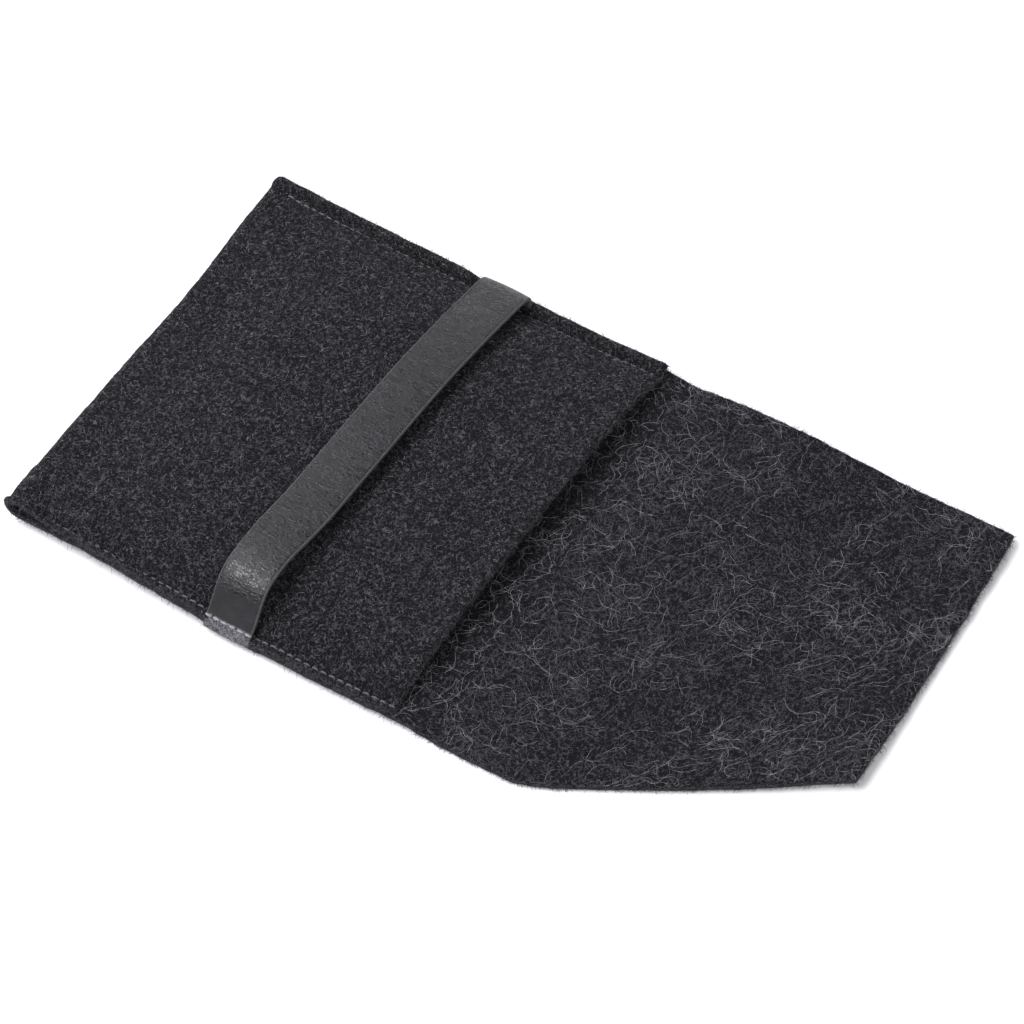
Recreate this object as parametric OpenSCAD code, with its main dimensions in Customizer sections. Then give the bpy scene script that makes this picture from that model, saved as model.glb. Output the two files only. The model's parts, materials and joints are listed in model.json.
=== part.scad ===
// Soft felt pouch for glasses: an envelope folded from one strip of thick wool felt, stitched
// along both sides, with an open flap and a leather strap that holds the flap when it is shut.
// +X runs from the closed end to the flap's tip, +Y to the flap's square side, +Z up.
// The pouch lies open on its back panel. The origin is at the bottom centre of its box.

/* [Pouch] */
// Width of the felt strip, across the mouth
pouch_w = 156; // [130:1:190]
// Depth of the pouch, from the closed end to the mouth
pouch_l = 147; // [120:1:180]
// Thickness of the felt
felt_t = 3; // [2:0.5:4]
// Height of the front panel at its crown, above the surface
crown_h = 14.5; // [13:0.5:18]
// Height that the side seams are lifted off the surface
seam_lift = 2; // [1:0.5:3]

/* [Flap] */
// Length of the flap, from the mouth to its tip
flap_l = 127; // [100:1:150]
// Distance from the mouth at which the near edge's diagonal cut starts
cut_start = 42; // [32:1:60]
// Width that the diagonal cut takes off the flap's end
cut_w = 52; // [20:1:60]
// Distance from the mouth to the first fold of the spine
spine_start = 5; // [4:0.5:8]
// Width of the spine that stands up across the mouth when the flap is shut
spine_w = 12; // [12:0.5:18]
// Length of the flap's tip, which droops behind the strap when the flap is shut
tip_l = 34; // [25:1:36]

/* [Strap] */
// Width of the leather strap
strap_w = 17.5; // [12:0.5:24]
// Thickness of the leather
strap_t = 1.5; // [1:0.1:2.5]
// Distance from the mouth to the middle of the strap
strap_in = 59.5; // [50:0.5:70]
// Height of the gap between the front panel's crown and the strap
strap_gap = 4.8; // [4.5:0.1:8]

/* [Seams] */
// Distance from the felt's edge to the line of stitches
seam_in = 3; // [2:0.5:4]
// Length of one stitch, from hole to hole
stitch_pitch = 3; // [2.5:0.25:4]
// Thickness of the sewing thread
thread_d = 0.6; // [0.4:0.1:0.8]

/* [Hidden] */
$fn = 64;

felt_colour = [0.09, 0.09, 0.10];
leather_colour = [0.05, 0.05, 0.055];
thread_colour = [0.30, 0.30, 0.31];

// Clearance between zones that move apart
gap = 0.3;
// The mouth's place along X, from the bottom centre of the whole open pouch
mouth_x = (pouch_l - flap_l) / 2;
half_w = pouch_w / 2;
// Width of the flat sewn margin along each side
margin_w = 2 * seam_in;
// Undersides of the back and front felt at the sewn margins, and the top of the two
back_edge_z = seam_lift;
front_edge_z = seam_lift + felt_t;
seam_top_z = seam_lift + 2 * felt_t;
// The closed end is folded round half of the two layers' height
fold_r = seam_top_z / 2;
fold_x = mouth_x - pouch_l + fold_r;
// Widths over which the back panel curls up to its margins
curl_w = 14;
strap_x = mouth_x - strap_in;
strap_z = crown_h + strap_gap;
// How far in from the edge the strap's free middle starts
strap_free = half_w - 16;
// The near end leaves its sewn tab here and turns up over this width
near_tab_w = 5;
near_rise_w = 14;
// The far end stands up in a small loop, then slopes on up to the middle
far_tab_w = 1;
far_loop_w = 6;
far_loop_share = 0.45;
far_slope_start = 6;
far_slope_w = 45;
// Space between one loop of thread and the next
stitch_gap = 0.5;

function smooth(t) = let (c = min(1, max(0, t))) c * c * (3 - 2 * c);

// Share of the full crown across the width and along the depth
function crown_across(y) = 1 - pow(min(1, abs(y) / (half_w - margin_w)), 4);
function crown_along(x) = smooth((x - fold_x) / 38) * (1 - 0.06 * smooth((x - mouth_x + 40) / 40));
function front_z(x, y) =
  front_edge_z + (crown_h - seam_top_z) * crown_across(y) * crown_along(x);

// Height of the back panel's underside across its width
function back_z(y) = back_edge_z * smooth((abs(y) - half_w + margin_w + curl_w) / curl_w);

// Share of the strap's full height at each place across the width
function near_rise(y) = smooth((half_w - near_tab_w + y) / near_rise_w);
function far_rise(y) =
  far_loop_share * smooth((half_w - far_tab_w - y) / far_loop_w)
  + (1 - far_loop_share) * smooth((half_w - far_slope_start - y) / far_slope_w);

// Height of the strap's underside: sewn down at its ends, then up and over the front
function strap_low_z(y) =
  seam_top_z + (strap_z - seam_top_z) * (y < 0 ? near_rise(y) : far_rise(y));

// Felt sheet of even thickness over a grid, its underside given at each grid point
module felt_sheet(xs, ys, low) {
  nx = len(xs);
  ny = len(ys);
  count = nx * ny;
  points = [
    for (layer = [0, 1], i = [0 : nx - 1], j = [0 : ny - 1])
      [xs[i], ys[j], low[i][j] + layer * felt_t]
  ];
  function at(i, j) = i * ny + j;
  cells = [
    for (i = [0 : nx - 2], j = [0 : ny - 2])
      [at(i, j), at(i + 1, j), at(i + 1, j + 1), at(i, j + 1)]
  ];
  split = function (q) [[q[0], q[1], q[2]], [q[0], q[2], q[3]]];
  bottom = [for (c = cells, t = split(c)) t];
  top = [for (t = bottom) [t[2] + count, t[1] + count, t[0] + count]];
  rim = concat(
    [for (i = [0 : nx - 1]) at(i, 0)],
    [for (j = [1 : ny - 1]) at(nx - 1, j)],
    [for (i = [nx - 2 : -1 : 0]) at(i, ny - 1)],
    [for (j = [ny - 2 : -1 : 1]) at(0, j)]
  );
  n = len(rim);
  wall = function (a, b) [[a, a + count, b], [b, a + count, b + count]];
  sides = [for (k = [0 : n - 1], t = wall(rim[k], rim[(k + 1) % n])) t];
  polyhedron(points = points, faces = concat(bottom, top, sides));
}

// Closed band of even thickness in the YZ plane over the given places across the width
module band(ys, low, thickness, width) {
  points = concat(
    [for (i = [0 : len(ys) - 1]) [ys[i], low[i]]],
    [for (i = [len(ys) - 1 : -1 : 0]) [ys[i], low[i] + thickness]]
  );
  rotate([90, 0, 90])
    linear_extrude(width)
      polygon(points);
}

// Loops of thread round the layers they hold, one at each stitch from x0 to x1
module stitches(x0, x1, y, low, high) {
  count = floor((x1 - x0) / stitch_pitch);
  for (i = [0 : count - 1])
    translate([x0 + i * stitch_pitch + stitch_gap / 2, y + thread_d / 2, low - thread_d])
      rotate([90, 0, 0])
        linear_extrude(thread_d)
          difference() {
            square([stitch_pitch - stitch_gap, high - low + 2 * thread_d]);
            translate([thread_d, thread_d])
              square([stitch_pitch - stitch_gap - 2 * thread_d, high - low]);
          }
}

// Outline of the flap beyond the mouth, with its square far corner and its diagonal near edge
module flap_outline() {
  polygon([
    [mouth_x, -half_w],
    [mouth_x + cut_start, -half_w],
    [mouth_x + flap_l, cut_w - half_w],
    [mouth_x + flap_l, half_w],
    [mouth_x, half_w]
  ]);
}

// The stretch of the flap from x0 to x1 beyond the mouth
module flap_zone(x0, x1) {
  linear_extrude(felt_t)
    intersection() {
      flap_outline();
      translate([mouth_x + x0, -half_w])
        square([x1 - x0, pouch_w]);
    }
}

// Back of the pouch, flat on the surface and curled up along its sewn sides, with the short
// stretch between the mouth and the spine's first fold
module back_panel() {
  steps = 6;
  start = half_w - margin_w - curl_w;
  side = concat([for (i = [0 : steps]) start + curl_w * i / steps], [half_w]);
  ys = concat([for (i = [len(side) - 1 : -1 : 0]) -side[i]], side);
  color(felt_colour) {
    translate([fold_x, 0, 0])
      band(ys, [for (y = ys) back_z(y)], felt_t, mouth_x - fold_x);
    flap_zone(0, spine_start - gap / 2);
  }
}

// Rounded fold at the closed end, which joins the back to the front
module end_fold() {
  color(felt_colour)
    translate([fold_x, half_w, fold_r])
      rotate([90, 0, 0])
        linear_extrude(pouch_w)
          difference() {
            circle(fold_r);
            circle(fold_r - felt_t);
            translate([0, -2 * fold_r])
              square(4 * fold_r);
          }
}

// Front of the pouch, crowned in the middle and sewn to the back along both sides
module front_panel() {
  nx = 16;
  inner = half_w - margin_w;
  side = [0, 0.2, 0.4, 0.55, 0.68, 0.8, 0.9, 1];
  half = concat([for (s = side) s * inner], [half_w]);
  ys = concat([for (i = [len(half) - 1 : -1 : 1]) -half[i]], half);
  xs = [for (i = [0 : nx]) fold_x + (mouth_x - fold_x) * i / nx];
  color(felt_colour)
    felt_sheet(xs, ys, [for (x = xs) [for (y = ys) front_z(x, y)]]);
}

// Side seams, from the closed end to the mouth, except where they pass through the strap
module side_stitches(y) {
  color(thread_colour) {
    stitches(fold_x + 2, strap_x - strap_w / 2, y, back_edge_z, seam_top_z);
    stitches(strap_x + strap_w / 2, mouth_x - 1, y, back_edge_z, seam_top_z);
  }
}

module near_seam_stitches() side_stitches(seam_in - half_w);
module far_seam_stitches() side_stitches(half_w - seam_in);

// Stitches of a side seam that also hold the strap's end
module strap_stitches(y) {
  color(thread_colour)
    stitches(strap_x - strap_w / 2 + 1, strap_x + strap_w / 2 - 1, y, back_edge_z, seam_top_z + strap_t);
}

module strap_near_stitches() strap_stitches(seam_in - half_w);
module strap_far_stitches() strap_stitches(half_w - seam_in);

// A stretch of the strap from y0 to y1, in a number of equal steps
module strap_run(y0, y1, steps) {
  ys = [for (i = [0 : steps]) y0 + (y1 - y0) * i / steps];
  color(leather_colour)
    translate([strap_x - strap_w / 2, 0, 0])
      band(ys, [for (y = ys) strap_low_z(y)], strap_t, strap_w);
}

// Sewn ends of the strap, with the turn up to its free middle
module strap_near_end() strap_run(0.5 - half_w, -strap_free - gap / 2, 10);
module strap_far_end() strap_run(strap_free + gap / 2, half_w - 0.5, 10);

// Free middle of the strap, under which the flap's tip is tucked
module strap() strap_run(gap / 2 - strap_free, strap_free - gap / 2, 12);

// Spine that turns up across the mouth as the flap closes
module flap_spine() {
  color(felt_colour)
    flap_zone(spine_start + gap / 2, spine_start + spine_w - gap / 2);
}

// Main stretch of the flap
module flap() {
  color(felt_colour)
    flap_zone(spine_start + spine_w + gap / 2, flap_l - tip_l - gap / 2);
}

// End of the flap, which goes behind the strap
module flap_tip() {
  color(felt_colour)
    flap_zone(flap_l - tip_l + gap / 2, flap_l);
}

back_panel();
end_fold();
front_panel();
near_seam_stitches();
far_seam_stitches();
strap_near_end();
strap_far_end();
strap_near_stitches();
strap_far_stitches();
strap();
flap_spine();
flap();
flap_tip();
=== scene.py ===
"""Soft felt pouch for glasses, lying open: the looks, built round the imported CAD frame.

Lengths inside the shape functions are millimetres from the mouth (u along X, y across, z up),
and put() turns them into metres in the row frame.
"""

import json
import math

import bpy
import numpy as np
from mathutils import Matrix, Vector, noise


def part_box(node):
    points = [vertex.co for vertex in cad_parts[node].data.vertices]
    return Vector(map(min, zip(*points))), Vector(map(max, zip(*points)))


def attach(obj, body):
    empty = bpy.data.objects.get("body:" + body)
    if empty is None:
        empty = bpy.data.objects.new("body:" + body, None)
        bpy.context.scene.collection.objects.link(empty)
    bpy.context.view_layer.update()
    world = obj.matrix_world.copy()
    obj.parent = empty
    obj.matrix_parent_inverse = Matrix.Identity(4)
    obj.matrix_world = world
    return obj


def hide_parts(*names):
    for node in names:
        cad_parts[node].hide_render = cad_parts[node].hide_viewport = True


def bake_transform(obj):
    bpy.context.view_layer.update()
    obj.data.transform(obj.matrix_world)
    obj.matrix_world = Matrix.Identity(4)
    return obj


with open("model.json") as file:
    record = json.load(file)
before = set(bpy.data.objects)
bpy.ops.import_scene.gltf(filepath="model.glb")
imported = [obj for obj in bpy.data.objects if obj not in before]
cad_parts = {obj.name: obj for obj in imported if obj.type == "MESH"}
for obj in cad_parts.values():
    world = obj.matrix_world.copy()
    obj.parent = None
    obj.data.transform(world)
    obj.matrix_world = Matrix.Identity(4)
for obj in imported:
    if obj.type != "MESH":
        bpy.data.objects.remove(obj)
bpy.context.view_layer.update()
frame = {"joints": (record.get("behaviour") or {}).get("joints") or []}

MM = 0.001

# ---------------------------------------------------------------- sizes from the frame
MOUTH_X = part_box("front_panel")[1].x / MM
HALF_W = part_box("front_panel")[1].y / MM
DEPTH = MOUTH_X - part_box("end_fold")[0].x / MM
FELT = (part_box("flap")[1].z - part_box("flap")[0].z) / MM
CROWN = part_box("front_panel")[1].z / MM
FLAP_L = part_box("flap_tip")[1].x / MM - MOUTH_X
STRAP_U = (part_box("strap")[0].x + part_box("strap")[1].x) / 2 / MM - MOUTH_X
STRAP_W = (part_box("strap")[1].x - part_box("strap")[0].x) / MM
HINGE_U = {j["name"]: j["pos_m"][0] / MM - MOUTH_X for j in frame["joints"] if "pos_m" in j}

HALF_SPINE = (HINGE_U["flap_fold"] + HINGE_U["flap_turn"]) / 2
HALF_FLAP = (HINGE_U["flap_turn"] + HINGE_U["flap_curl"]) / 2

# ---------------------------------------------------------------- sizes the frame doesn't give, in mm
LEATHER = 1.5
SEAM_IN = 3.0
SEAM_Y = HALF_W - SEAM_IN
# The far seam shows a little further in from the edge than the near one
FAR_SEAM_Y = SEAM_Y - 1.7
MARGIN_Y = HALF_W - 2 * SEAM_IN
STITCH = 3.0
# The front ends and the closed end's fold starts here
FRONT_END_U = -DEPTH + 4.2
# The flap's corner is cut off from (CUT_START, -HALF_W) to (FLAP_L, CUT_END_Y)
CUT_START = 42.0
CUT_END_Y = -26.0
# The mouth and the strap aren't quite square to the sides
MOUTH_SKEW = 0.035
STRAP_SKEW = 0.034
# How far along the felt the strap holds it down, to each side of the strap's middle
STRAP_HOLD = 11
# A cut edge of the felt rounds off over this distance
EDGE_ROUND = 1.1


def smooth(t):
    t = np.clip(t, 0.0, 1.0)
    return t * t * (3 - 2 * t)


def bell(t):
    """A soft hump: 1 at 0, and close to nothing past 2."""
    return np.exp(-(t**2))


def by_side(y, near, far):
    """One value on the near half and another on the far half."""
    return np.where(y > 0, far, near)


def hills(u, y, size, seed):
    """Seeded soft unevenness from about -1 to 1, with hills of the given size."""
    flat = [
        noise.noise(Vector((a / size, b / size, seed)))
        for a, b in zip(np.ravel(u), np.ravel(y))
    ]
    return np.array(flat).reshape(np.shape(u))


# ---------------------------------------------------------------- felt shape
def edge_lift(u, y):
    """How far the felt's underside stands off the surface along the sewn sides."""
    along = smooth(-u / DEPTH)
    near = 0.4 + 3.4 * along**1.5 - 1.6 * smooth((-u - 118) / 22)
    far = 0.7 + 1.4 * smooth((-u - 70) / 80)
    side = smooth((y + 20) / 40)
    return (near * (1 - side) + far * side) * (1 - smooth(u / 16))


def seam_line(y):
    """How far the line of stitches is from the middle, on the side that y is on."""
    return by_side(y, SEAM_Y, FAR_SEAM_Y)


def under_strap(u):
    """1 under the strap, falling to 0 to each side of it."""
    return np.exp(-(((u - STRAP_U) / STRAP_HOLD) ** 4))


def turn_up(u, y):
    """The sewn margins turn up a little outside the line of stitches, but hardly under the strap."""
    height = by_side(y, 1.7, 1.8)
    start = by_side(y, 0.3, 0.8)
    held = 1 - 0.8 * under_strap(u)
    return height * held * smooth((np.abs(y) - seam_line(y) - start) / 2.0) * (1 - smooth(u / 14))


def back_mid(u, y):
    """Height of the back's mid-surface."""
    lift = edge_lift(u, y) * smooth((np.abs(y) - MARGIN_Y + 22) / 22)
    return FELT / 2 + lift


def stitch_dip(u, y):
    """The stitches pull the front down, with a narrow groove just outside them, and so do the
    strap's ends. The roll at the closed end is left unsewn."""
    past = np.abs(y) - seam_line(y)
    middle, width, depth = by_side(y, 0.6, 1.0), by_side(y, 0.6, 0.7), by_side(y, 1.2, 1.3)
    groove = depth * bell((past - middle) / width)
    line_dip = (0.9 * bell(past / 1.7) + groove) * (1 - smooth((-u - 134) / 8))
    strap_dip = 1.2 * under_strap(u) * smooth((np.abs(y) - SEAM_Y + 4) / 4)
    return line_dip + strap_dip


def front_mid(u, y):
    """Height of the front's mid-surface: the sewn margins, the loop at the closed end and the crown."""
    corner = by_side(y, 2.7, 0.0) * smooth((-u - 130) / 13) * smooth((np.abs(y) - 52) / 22)
    loop = corner + (1.6 - 0.7 * smooth((y + 20) / 40)) * smooth((-u - 118) / 22)
    seam = FELT * 1.5 - 0.1 + edge_lift(u, y) + loop
    across = 1 - np.abs(np.clip(y / (MARGIN_Y + 1), -1, 1)) ** 3.4
    along = smooth((u - FRONT_END_U) / 46) * (1 - 0.07 * smooth((u + 40) / 40))
    crown = CROWN - FELT / 2 - seam
    puff = crown * across**0.85 * along
    uneven = 0.55 * hills(u, y, 34, 3.1) * across
    return seam + puff + uneven


def flap_mid(u, y):
    """Height of the flap's mid-surface: its two corners and its far side lift off the surface a little."""
    corner = 2.2 * np.exp(-((u - FLAP_L) ** 2 + (y - CUT_END_Y) ** 2) / 26**2)
    far_corner = 1.2 * np.exp(-((u - FLAP_L) ** 2 + (y - HALF_W) ** 2) / 30**2)
    far_edge = 1.8 * bell((u - 45) / 34) * smooth((y - HALF_W + 30) / 30)
    wave = 0.35 * (1 + hills(u, y, 42, 7.7)) * smooth((u - 20) / 30)
    return FELT / 2 + corner + far_corner + far_edge + wave


def side_swell(u, y):
    """How far the sides and the closed end stand out past straight lines: y first, then u."""
    near = -1.9 * bell((u + 45) / 48) * smooth((-y - 40) / 38)
    far = 0.9 * bell((u - 50) / 40) - 1.0 * bell((u + 25) / 26)
    far = far * smooth((y - 40) / 38)
    end = -1.8 * smooth((y - 35) / 40) + 0.9 * bell(y / 45) + 0.8 * smooth((-y - 40) / 30)
    end = end + 1.1 * smooth((-y - 60) / 15)
    return near + far, end * smooth((-u - 110) / 30)


def spaced(low, high, step):
    """Places from low to high, about a step apart, with extra ones where each end rounds off."""
    near = np.array([0, 0.25, 0.6, EDGE_ROUND])
    n = max(2, int(round((high - low - 2 * EDGE_ROUND) / step)))
    middle = np.linspace(low + EDGE_ROUND, high - EDGE_ROUND, n + 1)
    return np.concatenate([low + near[:-1], middle, high - near[:-1][::-1]])


def columns(step):
    """Places across the felt, closer together over its sewn margins."""
    fine = 9
    margin = np.concatenate([[0, 0.25, 0.6], np.arange(EDGE_ROUND, fine, 0.5 * step)])
    middle = np.linspace(fine, 2 * HALF_W - fine, int(round((2 * HALF_W - 2 * fine) / step)) + 1)
    return np.concatenate([margin, middle, 2 * HALF_W - margin[::-1]]) - HALF_W


def roundness(distance):
    """Share of the felt's thickness left at a distance from its cut edge."""
    t = 1 - np.clip(distance / EDGE_ROUND, 0, 1)
    return np.sqrt(1 - 0.62 * t * t)


def side_y(u):
    """The felt's two side edges at each place along it."""
    cut = (u - CUT_START) * (CUT_END_Y + HALF_W) / (FLAP_L - CUT_START)
    bow = 1.8 * np.sin(np.pi * np.clip((u - CUT_START) / (FLAP_L - CUT_START), 0, 1))
    soft_cut = 1.5 * np.logaddexp(0, cut / 1.5)
    low = -HALF_W + soft_cut - bow
    high = HALF_W + 0 * u
    return low, high


def swollen(grid):
    """The same grid with the outline's slight curves put in."""
    u, y = grid[:, :, 0], grid[:, :, 1]
    dy, du = side_swell(u, y)
    end = 0.9 * (1 - (y / HALF_W) ** 2) * smooth((y + 45) / 60) * smooth((u - FLAP_L + 30) / 30)
    return np.stack([u + du + end, y + dy, grid[:, :, 2]], 2)


def ragged(u, y, seed):
    """Slight raggedness of the cut edges."""
    return 0.28 * hills(u, y, 5, seed) + 0.18 * hills(u, y, 1.9, seed + 1)


def pouch_strip(step):
    """The front, the closed end's fold, the back and the first half of the spine: the mid-surface,
    the thickness, and how far the outer and inner faces are moved up by the sewn margins' relief."""
    ys = columns(step)
    # front, from its lip to the fold
    lips = spaced(FRONT_END_U - 1.2, 0, step)[:2:-1]
    rows, keep, relief = [], [], []
    for base in lips:
        u = base + MOUTH_SKEW * ys * smooth((base - FRONT_END_U) / 100)
        z = front_mid(u, ys)
        rows.append(np.stack([u, ys, z], 1))
        keep.append(roundness(-base))
        up, dip = turn_up(u, ys), stitch_dip(u, ys)
        relief.append(np.stack([up - dip, up - 0.35 * dip], 1))
    # fold, half a turn from the front's last row to the back's first
    u0 = np.full_like(ys, FRONT_END_U)
    top, low = front_mid(u0, ys), back_mid(u0, ys)
    radius, middle = (top - low) / 2, (top + low) / 2
    turns = 14
    for k in range(1, turns):
        a = math.pi * k / turns
        reach = radius + 0.4
        rows.append(np.stack([u0 - reach * math.sin(a), ys, middle + radius * math.cos(a)], 1))
        keep.append(1.0)
        relief.append(np.repeat(turn_up(u0, ys)[:, None], 2, 1))
    # back and spine
    n = int(round((HALF_SPINE - FRONT_END_U) / step))
    for u in np.linspace(FRONT_END_U, HALF_SPINE, n + 1):
        uu = np.full_like(ys, u)
        rows.append(np.stack([uu, ys, back_mid(uu, ys)], 1))
        keep.append(1.0)
        relief.append(np.repeat(turn_up(uu, ys)[:, None], 2, 1))
    grid = np.array(rows)
    across = HALF_W - np.abs(ys)
    thick = FELT * roundness(across)[None, :] * np.array(keep)[:, None]
    sewn = smooth((np.abs(ys) - MARGIN_Y) / 2)[None, :]
    inside = (grid[:, :, 0] < -0.5).astype(float)
    thick = thick * (1 - 0.07 * sewn * inside)
    return swollen(grid), thick, np.array(relief)


def flap_strip(u0, u1, step, cut_end):
    """The flap from u0 to u1 beyond the mouth: the mid-surface, thickness and relief."""
    if cut_end:
        us = spaced(u0 - 1.2, u1, step)[3:]
        us[0] = u0
    else:
        us = np.linspace(u0, u1, int(round((u1 - u0) / step)) + 1)
    share = (columns(step) + HALF_W) / (2 * HALF_W)
    low, high = side_y(us)
    ys = low[:, None] + (high - low)[:, None] * share[None, :]
    uu = np.repeat(us[:, None], len(share), 1)
    spine = 1 - smooth((uu - 12) / 14)
    z = flap_mid(uu, ys) * (1 - spine) + back_mid(uu, ys) * spine
    grid = np.stack([uu, ys, z], 2)
    across = np.minimum(share, 1 - share) * 2 * HALF_W
    thick = FELT * roundness(across)[None, :] * np.ones_like(uu)
    if cut_end:
        thick = thick * roundness(u1 - us)[:, None]
    relief = np.repeat((turn_up(uu, ys) * spine)[:, :, None], 2, 2)
    return swollen(grid), thick, relief


def grid_normals(grid):
    """Unit normals of a grid of points."""
    n = np.cross(np.gradient(grid, axis=1), np.gradient(grid, axis=0))
    return n / np.maximum(np.linalg.norm(n, axis=2, keepdims=True), 1e-9)


# ---------------------------------------------------------------- meshes
def put(name, points, faces, materials, slots=None):
    """A new object from points in millimetres from the mouth, with smooth faces."""
    mesh = bpy.data.meshes.new(name)
    moved = (np.asarray(points, float) + [MOUTH_X, 0, 0]) * MM
    mesh.from_pydata(moved.tolist(), [], faces)
    for m in materials:
        mesh.materials.append(m)
    if slots is not None:
        mesh.polygons.foreach_set("material_index", slots)
    mesh.polygons.foreach_set("use_smooth", [True] * len(mesh.polygons))
    mesh.update()
    obj = bpy.data.objects.new(name, mesh)
    bpy.context.scene.collection.objects.link(obj)
    return obj


def keep_sharp(obj, rings):
    """Marks the edges between neighbours in each ring of vertices as sharp, so an end shades flat."""
    sharp = {tuple(sorted(pair)) for ring in rings for pair in zip(ring[:-1], ring[1:])}
    flags = [tuple(sorted(e.vertices)) in sharp for e in obj.data.edges]
    obj.data.attributes.new("sharp_edge", "BOOLEAN", "EDGE").data.foreach_set("value", flags)


def felt_piece(name, strip, materials, open_start, open_end):
    """Closed felt solid round a mid-surface. Slot 0 is the outer face, 1 the inner, 2 the cut edge and
    the far margin, which looks like one. An open end goes on into the next piece, so it isn't ragged.
    Returns the object and its outer and inner surfaces, each with normals pointing out of the felt."""
    seed = 11.0
    grid, thick, relief = strip
    nu, ny = grid.shape[:2]
    normal = grid_normals(grid)
    u, y = grid[:, :, 0], grid[:, :, 1]
    grid = grid.copy()
    fade = np.linspace(1, 0, 6)
    grid[:, :6, 1] += ragged(u[:, :6], y[:, :6] - 40, seed) * fade[None, :]
    grid[:, -6:, 1] += ragged(u[:, -6:], y[:, -6:] + 40, seed) * fade[None, ::-1]
    if not open_end:
        grid[-6:, :, 0] += ragged(u[-6:], y[-6:], seed + 9) * fade[::-1, None]
    if not open_start:
        grid[:6, :, 0] += ragged(u[:6], y[:6], seed + 5) * fade[:, None]
    # small lumps, the same on both sides of a joint between two pieces
    lumps = 0.16 * hills(u, y + 0.5 * grid[:, :, 2], 3.4, seed + 2) + 0.10 * hills(u, y, 1.9, seed + 3)
    outer = grid + normal * (thick / 2 + lumps)[:, :, None]
    inner = grid - normal * (thick / 2 + lumps * 0.8)[:, :, None]
    for k, face in enumerate((outer, inner)):
        face[:, :, 2] = np.maximum(face[:, :, 2] + relief[:, :, k], 0.02)
    points = np.concatenate([outer.reshape(-1, 3), inner.reshape(-1, 3)])
    at = np.arange(nu * ny).reshape(nu, ny)
    n = nu * ny
    a, b, c, d = at[:-1, :-1].ravel(), at[1:, :-1].ravel(), at[1:, 1:].ravel(), at[:-1, 1:].ravel()
    faces = np.concatenate([np.stack([a, d, c, b], 1), np.stack([a, b, c, d], 1) + n])
    ridge = (y[:-1, :-1] > FAR_SEAM_Y + 0.9) & (u[:-1, :-1] < 0)
    slots = np.where(ridge, 2, 0).ravel().tolist() + [1] * len(a)
    rim = np.concatenate([at[0, :-1], at[:-1, -1], at[-1, :0:-1], at[:0:-1, 0]])
    after = np.roll(rim, -1)
    faces = np.concatenate([faces, np.stack([rim, rim + n, after + n, after], 1)])
    slots += [2] * len(rim)
    obj = put(name, points, faces.tolist(), materials, slots)
    ends = [row for row, is_open in ((at[0], open_start), (at[-1], open_end)) if is_open]
    keep_sharp(obj, [(row + shift).tolist() for row in ends for shift in (0, n)])
    return obj, (outer, normal), (inner, -normal)


# ---------------------------------------------------------------- loose hairs
def read_grid(field, i, j):
    """Values of a grid of points at places between them."""
    i = np.clip(i, 0, field.shape[0] - 1.001)
    j = np.clip(j, 0, field.shape[1] - 1.001)
    i0, j0 = i.astype(int), j.astype(int)
    fi, fj = (i - i0), (j - j0)
    if field.ndim == 3:
        fi, fj = fi[:, None], fj[:, None]
    low = field[i0, j0] * (1 - fj) + field[i0, j0 + 1] * fj
    high = field[i0 + 1, j0] * (1 - fj) + field[i0 + 1, j0 + 1] * fj
    return low * (1 - fi) + high * fi


def reflect(place, heading, top, flip):
    """Hairs that would run off the felt turn back onto it."""
    out = (place < 0) | (place > top)
    place = np.abs(place)
    place = np.where(place > top, 2 * top - place, place)
    return place, np.where(out, flip - heading, heading)


def lying_hairs(surface, rows, count, length, steps, width, wander, stand, rng, patchy=0.0):
    """Hairs that wander over a felt surface between two of its rows, as paths, normals and widths."""
    points, normal = surface
    points, normal = points[rows[0]:rows[1]], normal[rows[0]:rows[1]]
    du = np.linalg.norm(np.gradient(points, axis=0), axis=2)
    dy = np.linalg.norm(np.gradient(points, axis=1), axis=2)
    share = du * dy
    if patchy:
        share = share * np.clip(1 + patchy * 1.8 * hills(points[:, :, 0], points[:, :, 1], 21, 4.4), 0.1, 3)
    share = share[:-1, :-1].ravel() / share[:-1, :-1].sum()
    cell = rng.choice(len(share), count, p=share)
    i = cell // (points.shape[1] - 1) + rng.random(count)
    j = cell % (points.shape[1] - 1) + rng.random(count)
    heading = rng.uniform(0, 2 * math.pi, count)
    bend = rng.normal(0, 0.55 * wander, count)
    total = rng.uniform(length[0], length[1], count) * rng.uniform(0.7, 1.0, count)
    step = total / steps
    rise = stand * rng.random(count) ** 2
    free = rng.random(count) < 0.35
    paths, normals = [], []
    for k in range(steps + 1):
        t = k / steps
        arch = 4 * t * (1 - t)
        height = 0.04 + rise * np.where(free, t**1.5, arch) - 0.12 * (1 - min(1, 5 * t))
        at_normal = read_grid(normal, i, j)
        paths.append(read_grid(points, i, j) + at_normal * height[:, None])
        normals.append(at_normal)
        heading = heading + bend * step + rng.normal(0, wander * 1.5, count) * np.sqrt(step)
        i = i + np.cos(heading) * step / read_grid(du, i, j)
        j = j + np.sin(heading) * step / read_grid(dy, i, j)
        i, heading = reflect(i, heading, points.shape[0] - 1.01, math.pi)
        j, heading = reflect(j, heading, points.shape[1] - 1.01, 0.0)
    return np.stack(paths, 1), np.stack(normals, 1), rng.uniform(0.7, 1.1, count) * width


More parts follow.
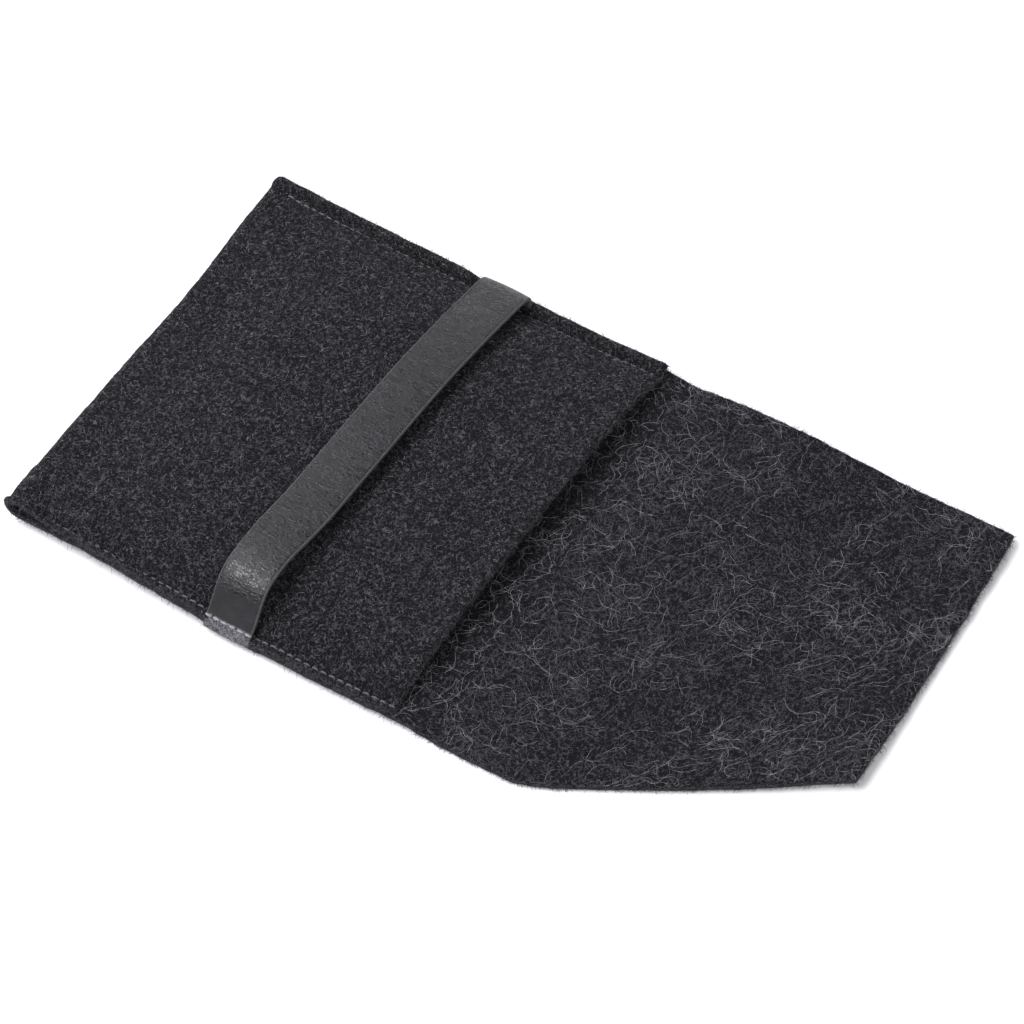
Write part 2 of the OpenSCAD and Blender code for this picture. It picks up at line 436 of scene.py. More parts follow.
def edge_hairs(outer, inner, line, inward, count, length, width, rng):
    """Short hairs that stand out from a cut edge. line picks the points of the edge, and inward picks
    a row further in."""
    a, b = outer[0][line], inner[0][line]
    out = a + b - outer[0][inward] - inner[0][inward]
    out = out / np.linalg.norm(out, axis=1, keepdims=True)
    run = np.linalg.norm(np.diff(a, axis=0), axis=1)
    cell = rng.choice(len(run), count, p=run / run.sum())
    f = rng.random(count)[:, None]
    across = rng.uniform(-0.15, 1.15, count)[:, None]
    low = b[cell] * (1 - f) + b[cell + 1] * f
    high = a[cell] * (1 - f) + a[cell + 1] * f
    root = low * (1 - across) + high * across
    way = out[cell]
    side = a[cell + 1] - a[cell]
    side = side / np.linalg.norm(side, axis=1, keepdims=True)
    up = np.cross(side, way)
    lean = rng.normal(0, 0.75, (2, count, 1))
    aim = way + side * lean[0] + up * lean[1]
    aim = aim / np.linalg.norm(aim, axis=1, keepdims=True)
    turn = rng.normal(0, 0.5, (2, count, 1))
    total = (length[0] + (length[1] - length[0]) * rng.random(count) ** 2.2)[:, None]
    steps = 2
    paths = []
    for k in range(steps + 1):
        t = k / steps
        bent = aim + (side * turn[0] + up * turn[1]) * t
        point = root - way * 0.35 + bent * total * t
        point[:, 2] = np.maximum(point[:, 2], 0.08)
        paths.append(point)
    normals = np.repeat(up[:, None, :], steps + 1, 1)
    return np.stack(paths, 1), normals, rng.uniform(0.7, 1.1, count) * width


def hair_piece(name, groups):
    """One mesh of thin three-sided hairs with closed ends. Each group has its own material."""
    points, faces, slots, start = [], [], [], 0
    for slot, (material, (paths, normals, width)) in enumerate(groups):
        n, m = paths.shape[:2]
        run = np.gradient(paths, axis=1)
        run /= np.maximum(np.linalg.norm(run, axis=2, keepdims=True), 1e-9)
        side = np.cross(run, normals)
        side /= np.maximum(np.linalg.norm(side, axis=2, keepdims=True), 1e-9)
        up = np.cross(side, run)
        taper = np.ones(m)
        taper[0], taper[-1] = 0.6, 0.35
        radius = (width[:, None] / 2 * taper)[:, :, None]
        ring = [
            paths + radius * (side * math.cos(a) + up * math.sin(a))
            for a in (math.pi / 2, math.pi * 7 / 6, math.pi * 11 / 6)
        ]
        points.append(np.stack(ring, 2).reshape(-1, 3))
        base = start + (np.arange(n)[:, None] * m + np.arange(m - 1)[None, :]).ravel() * 3
        for k in range(3):
            q = (k + 1) % 3
            faces += np.stack([base + k, base + k + 3, base + q + 3, base + q], 1).tolist()
        first = start + np.arange(n) * m * 3
        last = first + (m - 1) * 3
        faces += np.stack([first, first + 1, first + 2], 1).tolist()
        faces += np.stack([last + 2, last + 1, last], 1).tolist()
        start += n * m * 3
        slots += [slot] * (len(faces) - len(slots))
    return put(name, np.concatenate(points), faces, [g[0] for g in groups], slots)


# ---------------------------------------------------------------- thread
def thread_row(name, stitches, material):
    """Twisted thread stitches, which dip at both ends. Each is given as its centre, the way it runs,
    its up and its length."""
    sides, rings, radius = 9, 13, 0.30
    points, faces = [], []
    for centre, way, up, length in stitches:
        centre, way, up = (np.array(v, float) for v in (centre, way, up))
        side = np.cross(way, up)
        base = len(points)
        for k in range(rings):
            t = -1 + 2 * k / (rings - 1)
            middle = centre + way * t * length / 2 - up * 0.75 * t**4
            lean = way - up * 3.0 * t**3 / length * 2
            lean = lean / np.linalg.norm(lean)
            rise = np.cross(side, lean)
            for q in range(sides):
                a = 2 * math.pi * q / sides
                r = radius * (1 + 0.14 * math.cos(2 * a - 5.0 * t * length / 2)) * (1 - 0.35 * t**8)
                points.append(middle + (side * math.cos(a) - rise * math.sin(a)) * r)
        for k in range(rings - 1):
            for q in range(sides):
                nxt = (q + 1) % sides
                faces.append((base + k * sides + q, base + (k + 1) * sides + q,
                              base + (k + 1) * sides + nxt, base + k * sides + nxt))
        faces.append(tuple(base + q for q in range(sides)))
        faces.append(tuple(base + (rings - 1) * sides + q for q in reversed(range(sides))))
    return put(name, points, faces, [material])


# ---------------------------------------------------------------- materials
def new_material(name):
    m = bpy.data.materials.new(name)
    m.use_nodes = True
    nodes, links = m.node_tree.nodes, m.node_tree.links
    nodes.clear()
    out = nodes.new("ShaderNodeOutputMaterial")
    shader = nodes.new("ShaderNodeBsdfPrincipled")
    links.new(shader.outputs["BSDF"], out.inputs["Surface"])
    return m, shader


class Graph:
    """Short words for the nodes that the materials are made of."""

    def __init__(self, material):
        self.tree = material.node_tree

    def link(self, a, b):
        self.tree.links.new(a, b)

    def millimetres(self):
        coord = self.tree.nodes.new("ShaderNodeTexCoord")
        scale = self.tree.nodes.new("ShaderNodeVectorMath")
        scale.operation = "SCALE"
        scale.inputs["Scale"].default_value = 1 / MM
        self.link(coord.outputs["Object"], scale.inputs[0])
        return scale.outputs[0]

    def shift(self, vector, offset, turn=(0, 0, 0), scale=(1, 1, 1)):
        node = self.tree.nodes.new("ShaderNodeMapping")
        node.inputs["Location"].default_value = offset
        node.inputs["Rotation"].default_value = turn
        node.inputs["Scale"].default_value = scale
        self.link(vector, node.inputs["Vector"])
        return node.outputs[0]

    def noise(self, vector, scale, detail=2.0, rough=0.5):
        node = self.tree.nodes.new("ShaderNodeTexNoise")
        node.inputs["Scale"].default_value = scale
        node.inputs["Detail"].default_value = detail
        node.inputs["Roughness"].default_value = rough
        self.link(vector, node.inputs["Vector"])
        return node.outputs["Fac"]

    def cell_edges(self, vector, scale):
        """Distance from the edge of the cell that a place is in."""
        node = self.tree.nodes.new("ShaderNodeTexVoronoi")
        node.feature = "DISTANCE_TO_EDGE"
        node.inputs["Scale"].default_value = scale
        self.link(vector, node.inputs["Vector"])
        return node.outputs["Distance"]

    def math(self, operation, a, b=None):
        node = self.tree.nodes.new("ShaderNodeMath")
        node.operation = operation
        for socket, value in zip(node.inputs, (a, b)):
            if value is None:
                continue
            if isinstance(value, (int, float)):
                socket.default_value = value
            else:
                self.link(value, socket)
        return node.outputs[0]

    def span(self, value, low, high, to_low=0.0, to_high=1.0):
        """Smooth step of a value from one range to another."""
        node = self.tree.nodes.new("ShaderNodeMapRange")
        node.interpolation_type = "SMOOTHSTEP"
        node.inputs["From Min"].default_value = low
        node.inputs["From Max"].default_value = high
        node.inputs["To Min"].default_value = to_low
        node.inputs["To Max"].default_value = to_high
        self.link(value, node.inputs["Value"])
        return node.outputs["Result"]

    def mix(self, share, a, b):
        node = self.tree.nodes.new("ShaderNodeMix")
        node.data_type = "RGBA"
        for name, value in (("A", a), ("B", b)):
            socket = next(s for s in node.inputs if s.name == name and s.type == "RGBA")
            if isinstance(value, tuple):
                socket.default_value = (*value, 1)
            else:
                self.link(value, socket)
        self.link(share, node.inputs[0])
        return next(s for s in node.outputs if s.type == "RGBA")

    def bump(self, height, depth, strength=1.0):
        node = self.tree.nodes.new("ShaderNodeBump")
        node.inputs["Strength"].default_value = strength
        node.inputs["Distance"].default_value = depth * MM
        self.link(height, node.inputs["Height"])
        return node.outputs[0]

    def fibres(self, vector, size, width, cover, offset, turn):
        """Thin curved hairs: the lines where a soft noise crosses its middle, broken up by another."""
        place = self.shift(vector, offset, turn)
        level = self.noise(place, 1 / size, 1.0, 0.4)
        line = self.math("ABSOLUTE", self.math("SUBTRACT", level, 0.5))
        line = self.span(line, 0.0, width / size, 1.0, 0.0)
        gate = self.noise(self.shift(vector, (offset[1], offset[2], offset[0]), turn), 0.9 / size, 1.0)
        gate = self.span(gate, 0.62 - cover * 0.3, 0.68 - cover * 0.3)
        return self.math("MULTIPLY", line, gate)


def shades(base, *factors):
    """The base colour times each of the factors."""
    return [tuple(factor * c for c in base) for factor in factors]


def felt_material(name, base, hair_colour, layers, hair_share):
    """Felt: a dark matted ground with paler hairs over it. Each layer of hairs is its size, width and
    cover."""
    m, shader = new_material(name)
    g = Graph(m)
    at = g.millimetres()
    cloud = g.span(g.noise(at, 0.07, 3.0), 0.3, 0.7)
    grain = g.noise(at, 1.15, 3.0, 0.6)
    darker, paler, tops = shades(base, 0.82, 1.18, 1.9)
    # The grain's raised tops are paler than its pits: partly the felt's own mottled tone, partly painted
    # shade in the pits.
    high = g.math("MULTIPLY", g.span(grain, 0.36, 0.64), 0.7)
    ground = g.mix(high, g.mix(cloud, darker, paler), tops)
    hairs = None
    for k, (size, width, cover) in enumerate(layers):
        turn = (0.3 * k, 0.5 + 0.7 * k, 1.1 * k)
        layer = g.fibres(at, size, width, cover, (17.0 * k + 3, 5.0 * k, 11.0 * k), turn)
        hairs = layer if hairs is None else g.math("MAXIMUM", hairs, layer)
    tint = g.mix(g.noise(at, 0.5, 1.0), *shades(hair_colour, 0.6, 1.0))
    colour = g.mix(g.math("MULTIPLY", hairs, hair_share), ground, tint)
    g.link(colour, shader.inputs["Base Color"])
    height = g.math("ADD", g.math("MULTIPLY", grain, 0.8), g.math("MULTIPLY", hairs, 0.35))
    g.link(g.bump(height, 0.7, 1.0), shader.inputs["Normal"])
    shader.inputs["Roughness"].default_value = 0.95
    shader.inputs["Specular IOR Level"].default_value = 0.06
    shader.inputs["Sheen Weight"].default_value = 0.02
    shader.inputs["Sheen Roughness"].default_value = 0.5
    return m


def leather_material(name, base, grain_depth, rough):
    """Leather: small pebbles with creases between them, longer wrinkles, and wide soft swells."""
    m, shader = new_material(name)
    g = Graph(m)
    at = g.millimetres()
    bent = g.shift(at, (0, 0, 0), (0, 0, 0.35), (1.0, 1.5, 1.0))
    wobble = g.tree.nodes.new("ShaderNodeVectorMath")
    wobble.operation = "MULTIPLY_ADD"
    wander = g.tree.nodes.new("ShaderNodeTexNoise")
    wander.inputs["Scale"].default_value = 0.9
    g.link(at, wander.inputs["Vector"])
    g.link(wander.outputs["Color"], wobble.inputs[0])
    wobble.inputs[1].default_value = (1.2, 1.2, 1.2)
    g.link(bent, wobble.inputs[2])
    cells = g.cell_edges(wobble.outputs[0], 0.72)
    creases = g.span(cells, 0.0, 0.12)
    pebbles = g.span(cells, 0.0, 0.42)
    fine = g.noise(at, 1.3, 1.0, 0.5)
    wrinkles = None
    for size, offset, turn in ((3.4, (3, 1, 0), -0.25), (2.2, (8, 5, 2), 0.6)):
        level = g.noise(g.shift(at, offset, (0, 0, turn), (0.55, 1.2, 1.0)), 1 / size, 2.0, 0.55)
        valley = g.span(g.math("ABSOLUTE", g.math("SUBTRACT", level, 0.5)), 0.0, 0.055)
        wrinkles = valley if wrinkles is None else g.math("MULTIPLY", wrinkles, valley)
    swells = g.noise(g.shift(at, (9, 4, 0), (0, 0, 0.5), (1.0, 0.6, 1.0)), 0.22, 2.0)
    height = g.math("ADD", g.math("MULTIPLY", pebbles, 0.10), g.math("MULTIPLY", creases, 0.18))
    for part, share in ((fine, 0.05), (wrinkles, 0.42), (swells, 0.6)):
        height = g.math("ADD", height, g.math("MULTIPLY", part, share))
    g.link(g.bump(height, grain_depth, 1.0), shader.inputs["Normal"])
    cloud = g.noise(at, 0.22, 3.0)
    darker, paler, crease_shade = shades(base, 0.6, 1.5, 0.2)
    ground = g.mix(g.span(cloud, 0.35, 0.65), darker, paler)
    # Painted shade: the base colour is darkened in the creases and wrinkles, and the same mask makes them
    # rougher.
    folds = g.math("SUBTRACT", 1.0, g.math("MULTIPLY", creases, wrinkles))
    colour = g.mix(g.math("MULTIPLY", folds, 0.8), ground, crease_shade)
    g.link(colour, shader.inputs["Base Color"])
    gloss = g.span(g.noise(at, 0.5, 3.0), 0.35, 0.65, rough - 0.05, rough + 0.08)
    g.link(g.math("ADD", gloss, g.math("MULTIPLY", folds, 0.15)), shader.inputs["Roughness"])
    shader.inputs["Specular IOR Level"].default_value = 0.52
    return m


def suede_material(name, base, dark, light, size):
    """Raw leather: specks of the given size, between a darker and a lighter share of the base."""
    m, shader = new_material(name)
    g = Graph(m)
    at = g.millimetres()
    speck = g.noise(at, 1 / size, 3.0, 0.7)
    colour = g.mix(g.span(speck, 0.40, 0.62), *shades(base, dark, light))
    g.link(colour, shader.inputs["Base Color"])
    g.link(g.bump(speck, 0.25, 0.9), shader.inputs["Normal"])
    shader.inputs["Roughness"].default_value = 0.85
    return m


def thread_material(name, base):
    m, shader = new_material(name)
    g = Graph(m)
    at = g.millimetres()
    ply = g.noise(g.shift(at, (0, 0, 0), (0, 0, 0.8), (1, 4, 4)), 1.6, 2.0)
    colour = g.mix(ply, *shades(base, 0.6, 1.3))
    g.link(colour, shader.inputs["Base Color"])
    g.link(g.bump(ply, 0.12, 0.8), shader.inputs["Normal"])
    shader.inputs["Roughness"].default_value = 0.6
    shader.inputs["Sheen Weight"].default_value = 0.3
    return m


def hair_material(name, base):
    m, shader = new_material(name)
    g = Graph(m)
    at = g.millimetres()
    colour = g.mix(g.span(g.noise(at, 0.8, 2.0), 0.35, 0.65), *shades(base, 0.35, 1.0))
    g.link(colour, shader.inputs["Base Color"])
    shader.inputs["Roughness"].default_value = 0.8
    shader.inputs["Specular IOR Level"].default_value = 0.2
    shader.inputs["Sheen Weight"].default_value = 0.1
    return m


OUTER = felt_material(
    "felt_outer", (0.0060, 0.0059, 0.0072), (0.105, 0.103, 0.115),
    [(1.6, 0.062, 0.65), (1.15, 0.062, 0.6), (2.2, 0.06, 0.6)], 0.85,
)
INNER = felt_material(
    "felt_inner", (0.0060, 0.0059, 0.0072), (0.100, 0.098, 0.110),
    [(3.4, 0.06, 0.6), (1.9, 0.062, 0.6), (1.2, 0.062, 0.6)], 0.85,
)
EDGE = felt_material(
    "felt_edge", (0.0062, 0.0061, 0.0070), (0.095, 0.094, 0.104),
    [(1.2, 0.07, 0.65), (0.9, 0.07, 0.6)], 0.8,
)
GRAIN = leather_material("leather_grain", (0.0090, 0.0085, 0.0114), 0.14, 0.27)
SMOOTH = leather_material("leather_pressed", (0.013, 0.0124, 0.0158), 0.025, 0.40)
SUEDE = suede_material("leather_edge", (0.075, 0.074, 0.082), 0.5, 1.5, 0.35)
SKIVED = suede_material("leather_skived", (0.072, 0.071, 0.080), 0.2, 2.6, 0.55)
THREAD = thread_material("thread", (0.11, 0.11, 0.12))
PALE_THREAD = thread_material("thread_on_strap", (0.30, 0.30, 0.31))
HAIR = hair_material("felt_hair", (0.40, 0.395, 0.44))
STRAY_HAIR = hair_material("felt_stray_hair", (0.52, 0.515, 0.56))
DIM_HAIR = hair_material("felt_fleck", (0.15, 0.148, 0.165))
DARK_HAIR = hair_material("felt_edge_hair", (0.12, 0.118, 0.13))

# ---------------------------------------------------------------- felt
# The size of the felt's faces, in mm
STEP = 1.15
FELTS = [OUTER, INNER, EDGE]

felt_body, body_outer, body_inner = felt_piece("felt_body", pouch_strip(STEP), FELTS, False, True)
flap_part = flap_strip(HALF_SPINE, HALF_FLAP, STEP, False)
felt_flap, flap_outer, flap_inner = felt_piece("felt_flap", flap_part, FELTS, True, True)
tip_part = flap_strip(HALF_FLAP, FLAP_L, STEP, True)
felt_tip, tip_outer, tip_inner = felt_piece("felt_tip", tip_part, FELTS, True, False)

# ---------------------------------------------------------------- hairs on the felt
rng = np.random.default_rng(20)
SHORT = (0.4, 1.7)
MIDDLING = (0.4, 1.8)
every = slice(None)
# An edge's points, and a row further in
NEAR_EDGE = ((every, 0), (every, 4))
FAR_EDGE = ((every, -1), (every, -5))
MOUTH_EDGE = ((0, every), (4, every))
TIP_EDGE = ((-1, every), (-5, every))


def fringe(outer, inner, edge, count, length):
    """Dark hairs along one cut edge of the felt."""
    return DARK_HAIR, edge_hairs(outer, inner, *edge, count, length, 0.12, rng)


rows = body_outer[0].shape[0]
# The body's rows start at the front's lip, so front_rows takes in the front and most of the fold, and
# the rows past inner_rows are the spine's and the last of the back's
front_rows = int(np.argmax(body_outer[0][:, 0, 0] < -DEPTH + 3)) + 10
inner_rows = rows - int(round((HALF_SPINE + 4) / STEP))
# Each set of lying hairs: its rows, count, shortest and longest, steps, width, wander, how far it
# stands off, and then how patchy it is
fuzz_body = hair_piece("fuzz_body", [
    (DIM_HAIR, lying_hairs(body_outer, (0, front_rows), 4000, (0.9, 2.8), 3, 0.12, 0.8, 0.5, rng)),
    (HAIR, lying_hairs(body_outer, (0, front_rows), 3300, (0.9, 3.0), 3, 0.11, 0.9, 0.6, rng)),
    (DIM_HAIR, lying_hairs(body_outer, (front_rows, rows), 900, (1.5, 4.0), 3, 0.12, 0.5, 0.1, rng)),
    (STRAY_HAIR, lying_hairs(body_inner, (inner_rows, rows), 160, (6, 14), 8, 0.10, 0.25, 0.6, rng)),
])
fuzz_body_edge = hair_piece("fuzz_body_edge", [
    fringe(body_outer, body_inner, NEAR_EDGE, 5400, SHORT),
    fringe(body_outer, body_inner, FAR_EDGE, 5400, SHORT),
    fringe(body_outer, body_inner, MOUTH_EDGE, 2800, (0.4, 1.6)),
])
rows = flap_inner[0].shape[0]
fuzz_flap = hair_piece("fuzz_flap", [
    (STRAY_HAIR, lying_hairs(flap_inner, (0, rows), 270, (5, 17), 11, 0.095, 0.2, 0.9, rng, 1.0)),
    (DIM_HAIR, lying_hairs(flap_inner, (0, rows), 520, (5, 16), 10, 0.11, 0.22, 0.6, rng, 0.6)),
    (DIM_HAIR, lying_hairs(flap_inner, (0, rows), 2800, (0.9, 3.2), 3, 0.13, 0.7, 0.35, rng)),
    fringe(flap_outer, flap_inner, NEAR_EDGE, 1150, MIDDLING),
    fringe(flap_outer, flap_inner, FAR_EDGE, 1250, MIDDLING),
])
rows = tip_inner[0].shape[0]
fuzz_tip = hair_piece("fuzz_tip", [
    (STRAY_HAIR, lying_hairs(tip_inner, (0, rows), 400, (5, 17), 11, 0.095, 0.2, 0.9, rng, 1.0)),
    (DIM_HAIR, lying_hairs(tip_inner, (0, rows), 640, (5, 16), 10, 0.11, 0.22, 0.6, rng, 0.6)),
    (DIM_HAIR, lying_hairs(tip_inner, (0, rows), 3100, (0.9, 3.2), 3, 0.13, 0.7, 0.35, rng)),
    fringe(tip_outer, tip_inner, NEAR_EDGE, 1600, MIDDLING),
    fringe(tip_outer, tip_inner, FAR_EDGE, 1350, MIDDLING),
    fringe(tip_outer, tip_inner, TIP_EDGE, 2000, (0.4, 2.2)),
])

# ---------------------------------------------------------------- strap
# The strap's middle line from the near seam to the far one, as y and z
STRAP_ROUTE = [
    (-80.2, 3.4), (-79.7, 5.0), (-78.6, 6.6), (-77.2, 8.0), (-75.4, 10.0), (-73.4, 12.7), (-70.8, 16.0),
    (-67.0, 18.9), (-61.5, 20.4), (-54.5, 20.8), (-45.0, 20.5), (-30.0, 20.3), (0.0, 20.3),
    (25.0, 19.8), (48.0, 17.5), (62.0, 15.4), (69.6, 14.1), (73.0, 13.1), (74.7, 11.6), (75.0, 10.0),
    (74.8, 8.4), (75.6, 7.1), (77.6, 6.6),
]
# Outside PRESSED_Y the leather is pressed smooth, and outside SEAM_OUT_Y it is skived thin
PRESSED_Y = -72.0
SEAM_OUT_Y = -78.0


def spline(points, count):
    """Evenly spaced points on a Catmull-Rom curve through the given ones."""
    p = np.array(points, float)
    p = np.vstack([2 * p[0] - p[1], p, 2 * p[-1] - p[-2]])
    fine = []
    for k in range(1, len(p) - 2):
        a, b, c, d = p[k - 1], p[k], p[k + 1], p[k + 2]
        for t in np.linspace(0, 1, 24, endpoint=False):
            square, cube = 2 * a - 5 * b + 4 * c - d, 3 * b - a - 3 * c + d
            fine.append(0.5 * (2 * b + (c - a) * t + square * t**2 + cube * t**3))
    fine.append(p[-2])
    fine = np.array(fine)
    run = np.concatenate([[0], np.cumsum(np.linalg.norm(np.diff(fine, axis=0), axis=1))])
    want = np.linspace(0, run[-1], count)
    return np.stack([np.interp(want, run, fine[:, i]) for i in range(fine.shape[1])], 1)


def strap_centre(y):
    """The strap runs a little askew, and bows sideways where it bends down to the near seam."""
    bow = smooth((-y - 32) / 24) * (1 - 0.65 * smooth((-y - 64) / 14))
    return STRAP_U + 1.2 + STRAP_SKEW * y - 0.9 * bow


def strap_half(name, part, materials):
    """Flat strap with rounded edges swept along part of the strap's line. Each point of its section
    is x, height and which face it's on: 0 for the top, 1 for an edge and 2 for the underside. The
    materials are the grain's, the raw leather's, the pressed leather's and the skived end's."""
    half_w, half_t = STRAP_W / 2, LEATHER / 2
    soft = 0.45
    crown = 0.35
    top = [(x, half_t, 0) for x in np.linspace(-half_w + soft, half_w - soft, 13)]
    corner = [
        (half_w - soft * (1 - math.sin(a)), half_t - soft * (1 - math.cos(a)), 1)
        for a in (0.6, 1.2)
    ]
    ring = top + corner
    ring += [(x, -h, s) for x, h, s in reversed(corner)]
    ring += [(x, -half_t, 2) for x in np.linspace(half_w - soft, -half_w + soft, 13)]
    ring += [(-x, -h, s) for x, h, s in corner]
    ring += [(-x, h, s) for x, h, s in reversed(corner)]
    n = len(ring)
    points, faces, slots = [], [], []
    places = range(part.start, part.stop)
    for i in places:
        (y, z), (uy, uz) = line[i], line_up[i]
        # the strap's end narrows in thickness where it is skived
        thin = 1 - 0.45 * smooth((SEAM_OUT_Y - y) / 1.5)
        for x, h, _ in ring:
            lift = h * thin + crown * (1 - (x / half_w) ** 2)
            narrow = 1 - 0.05 * smooth((-y - 45) / 15)
            points.append((strap_centre(y) + x * narrow, y + uy * lift, z + uz * lift))
    for i in range(len(places) - 1):
        y = line[places[i]][0]
        face = 2 if y < PRESSED_Y else 0
        if y < SEAM_OUT_Y:
            face = 3
        for j in range(n):
            k = (j + 1) % n
            faces.append((i * n + j, (i + 1) * n + j, (i + 1) * n + k, i * n + k))
            slots.append(face if {ring[j][2], ring[k][2]} == {0} else 1)
    last = (len(places) - 1) * n
    faces.append(tuple(range(n)))
    faces.append(tuple(last + j for j in reversed(range(n))))
    slots += [1, 1]
    made = put(name, points, faces, materials, slots)
    keep_sharp(made, [[start + j % n for j in range(n + 1)] for start in (0, last)])
    return made


line = spline(STRAP_ROUTE, 240)
run = np.gradient(line, axis=0)
run /= np.linalg.norm(run, axis=1, keepdims=True)
line_up = np.stack([-run[:, 1], run[:, 0]], 1)
middle = int(np.argmin(np.abs(line[:, 0])))
LEATHERS = [GRAIN, SUEDE, SMOOTH, SKIVED]
strap_near = strap_half("strap_near_half", slice(0, middle + 1), LEATHERS)
strap_far = strap_half("strap_far_half", slice(middle, len(line)), LEATHERS)

# ---------------------------------------------------------------- stitches
# Length of thread to be seen in one stitch on the front, on the strap and on the back
FRONT_STITCH = 2.1
STRAP_STITCH = 2.0
BACK_STITCH = 2.5
STITCHES_ON_STRAP = 6
# How far a stitch on the back is sunk in the felt
BACK_SINK = 0.12


def seam_stitches(y, skip):
    """The stitches of one side seam, on the front and on the back, outside the strap's width. They
    sink into the front unevenly, and further toward the closed end."""
    made = []
    count = int((DEPTH - 6) / STITCH)
    buried, raised = (0.5, 0.0) if y < 0 else (0.15, 0.1)
    for k in range(count):
        u = -2.6 - (k + 0.5) * STITCH
        if skip[0] < u < skip[1]:
            continue
        uu, yy = np.array([u]), np.array([y])
        uneven = 0.22 * float(hills(uu, yy, 9, 2.5)[0])
        sink = uneven + buried * float(smooth((-u - 62) / 40)) - raised
        top = float((front_mid(uu, yy) - stitch_dip(uu, yy))[0]) + FELT / 2
        low = float(back_mid(uu, yy)[0]) - FELT / 2
        dy = float(side_swell(uu, yy)[0][0])
        made.append(((u, y + dy, top - sink), (1, 0.02, 0), (0, 0, 1), FRONT_STITCH))
        made.append(((u, y + dy, low + BACK_SINK), (1, 0, 0), (0, 0, -1), BACK_STITCH))
    return made


def strap_stitches(place, centre, lean):
    """The stretch of a side seam that goes through the strap, at one of its line's points."""
    y, z = line[place]
    up = np.array([0, lean, 1.0])
    up = up / np.linalg.norm(up)
    low = float(back_mid(np.array([centre]), np.array([y]))[0]) - FELT / 2
    proud = LEATHER / 2 + 0.40
    made = []
    for k in range(STITCHES_ON_STRAP):
        u = centre + (k - (STITCHES_ON_STRAP - 1) / 2) * STITCH * 0.97
        made.append((np.array([u, y, z]) + up * proud, (1, 0, 0), up, STRAP_STITCH))
        made.append(((u, y, low + BACK_SINK), (1, 0, 0), (0, 0, -1), BACK_STITCH))
    return made


near_u = float(strap_centre(-77.0))
far_u = float(strap_centre(76.0))
reach = STRAP_W / 2 + 0.3
near_skip, far_skip = (near_u - reach, near_u + reach), (far_u - reach, far_u + reach)
# The points of the strap's line that the near and the far seam go through
near_place = int(np.argmin(np.abs(line[:, 0] + 77.9)))
far_place = len(line) - 4
near_seam = thread_row("near_seam_thread", seam_stitches(-SEAM_Y, near_skip), THREAD)
far_seam = thread_row("far_seam_thread", seam_stitches(FAR_SEAM_Y, far_skip), THREAD)
strap_near_seam = thread_row(
    "strap_near_thread", strap_stitches(near_place, near_u, -0.9), PALE_THREAD
)
strap_far_seam = thread_row("strap_far_thread", strap_stitches(far_place, far_u, 0.1), THREAD)

# ---------------------------------------------------------------- bodies
def bends(pieces):
    """Bakes each piece's placement into its mesh."""
    for piece in pieces:
        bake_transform(piece)


bends((felt_body, fuzz_body, fuzz_body_edge))
bends((felt_flap, fuzz_flap))
bends((felt_tip, fuzz_tip))
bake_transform(strap_near)
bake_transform(strap_far)
for piece in (near_seam, far_seam, strap_near_seam, strap_far_seam):
    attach(piece, "pouch")

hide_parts("back_panel", "end_fold", "front_panel")
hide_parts("flap_spine", "flap")
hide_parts("flap_tip")
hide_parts("strap_near_end", "strap")
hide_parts("strap_far_end")
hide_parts("near_seam_stitches")
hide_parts("far_seam_stitches")
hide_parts("strap_near_stitches")
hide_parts("strap_far_stitches")

# ---------------------------------------------------------------- floor, light, camera
FLOOR_HALF = 3
SKY_STRENGTH = 0.26
COOL = (0.95, 0.96, 1.0)
# Name, place, what it faces, its two sides, watts, colour, and the way that its second side runs
LAMPS = [
    ("key_near", (-0.46, -0.54, 1.21), (-0.04, 0, 0), (0.6, 0.8), 18.0, (0.96, 0.96, 1.0), (0, 1, 0)),
    ("key_left", (-1.15, 0.3, 1.25), (0, 0, 0), (1.0, 1.2), 11.0, COOL, (0, 0, 1)),
    ("card_back", (-0.35, 1.25, 0.5), (0, 0, 0), (0.8, 0.7), 4.6, COOL, (0, 0, 1)),
    ("fill_right", (1.1, -0.8, 1.5), (0.1, 0, 0), (1.4, 1.4), 16.0, (1, 1, 1), (0, 0, 1)),
]
AZIMUTH = math.radians(31.6)
ELEVATION = math.radians(54.44)
ROLL = math.radians(-0.17)
CAMERA_DISTANCE = 1.108
SENSOR_MM = 36
LENS_MM = 124.20703
# What the camera is aimed at, in mm in the row frame
AIM = (MOUTH_X - 12.52, 6.94, 0)


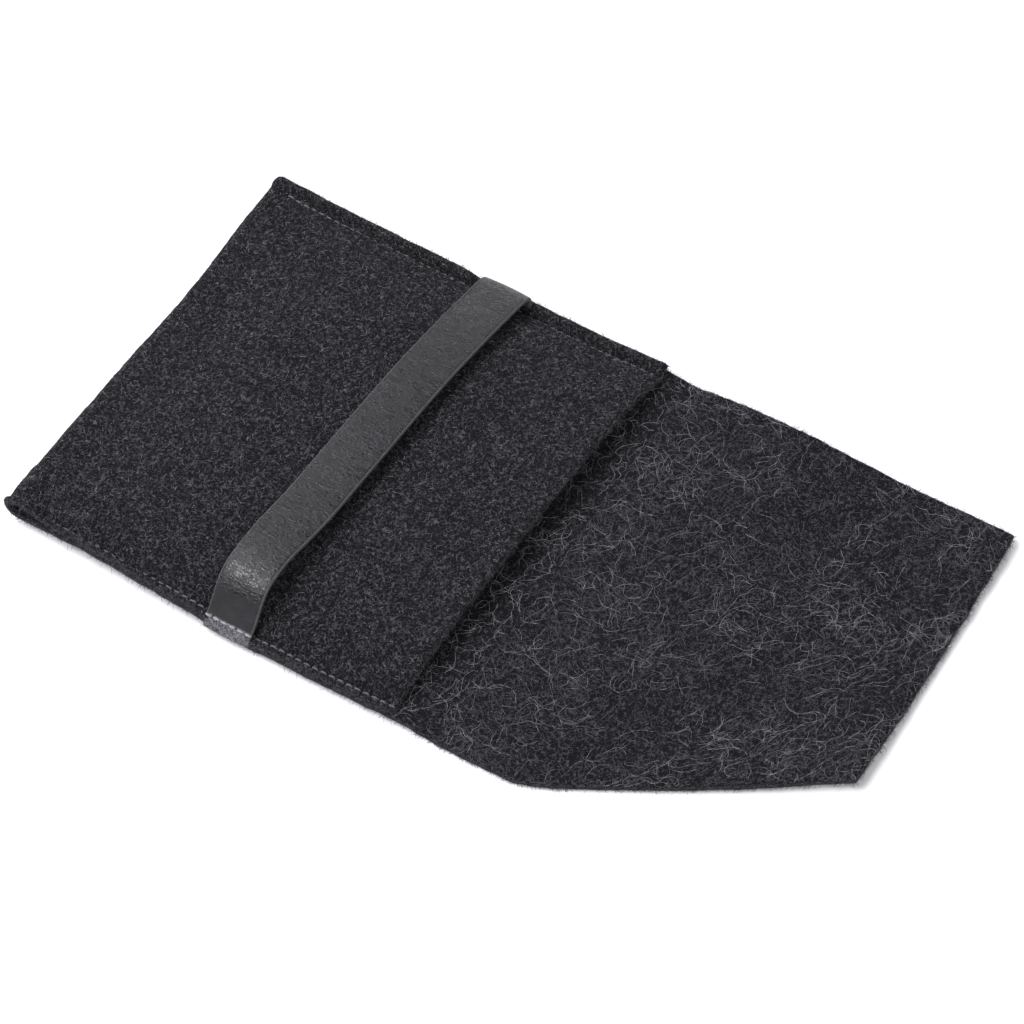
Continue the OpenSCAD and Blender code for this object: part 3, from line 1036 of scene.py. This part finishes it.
def build_stage():
    mesh = bpy.data.meshes.new("floor")
    corners = [(-FLOOR_HALF, -FLOOR_HALF, 0), (FLOOR_HALF, -FLOOR_HALF, 0)]
    corners += [(FLOOR_HALF, FLOOR_HALF, 0), (-FLOOR_HALF, FLOOR_HALF, 0)]
    mesh.from_pydata(corners, [], [(0, 1, 2, 3)])
    floor = bpy.data.objects.new("floor", mesh)
    bpy.context.scene.collection.objects.link(floor)
    m, shader = new_material("floor_white")
    shader.inputs["Base Color"].default_value = (0.95, 0.95, 0.965, 1)
    shader.inputs["Roughness"].default_value = 0.9
    shader.inputs["Specular IOR Level"].default_value = 0.1
    mesh.materials.append(m)


def add_lamp(name, place, target, size, power, colour, along):
    """Rectangular lamp facing the target, its second side running as near as it can to along."""
    light = bpy.data.lights.new(name, "AREA")
    light.shape = "RECTANGLE"
    light.size, light.size_y = size
    light.energy = power
    light.color = colour
    obj = bpy.data.objects.new(name, light)
    bpy.context.scene.collection.objects.link(obj)
    back = (Vector(place) - Vector(target)).normalized()
    side = Vector(along).cross(back).normalized()
    turn = Matrix((side, back.cross(side), back)).transposed().to_4x4()
    obj.matrix_world = Matrix.Translation(place) @ turn


def build_light():
    world = bpy.data.worlds.new("studio")
    bpy.context.scene.world = world
    world.use_nodes = True
    sky = world.node_tree.nodes["Background"]
    sky.inputs[0].default_value = (1.0, 1.0, 1.0, 1)
    sky.inputs[1].default_value = SKY_STRENGTH
    for lamp in LAMPS:
        add_lamp(*lamp)
    bpy.context.scene.view_settings.view_transform = "Standard"


def build_camera():
    aim = Vector(AIM) * MM
    back = Vector((
        math.sin(AZIMUTH) * math.cos(ELEVATION),
        -math.cos(AZIMUTH) * math.cos(ELEVATION),
        math.sin(ELEVATION),
    ))
    right = Vector((math.cos(AZIMUTH), math.sin(AZIMUTH), 0))
    up = back.cross(right)
    data = bpy.data.cameras.new("camera")
    data.lens = LENS_MM
    data.sensor_width = SENSOR_MM
    data.clip_end = 10
    cam = bpy.data.objects.new("camera", data)
    bpy.context.scene.collection.objects.link(cam)
    turn = Matrix((right, up, back)).transposed().to_4x4() @ Matrix.Rotation(ROLL, 4, "Z")
    cam.matrix_world = Matrix.Translation(aim + back * CAMERA_DISTANCE) @ turn
    bpy.context.scene.camera = cam


build_stage()
build_light()
build_camera()
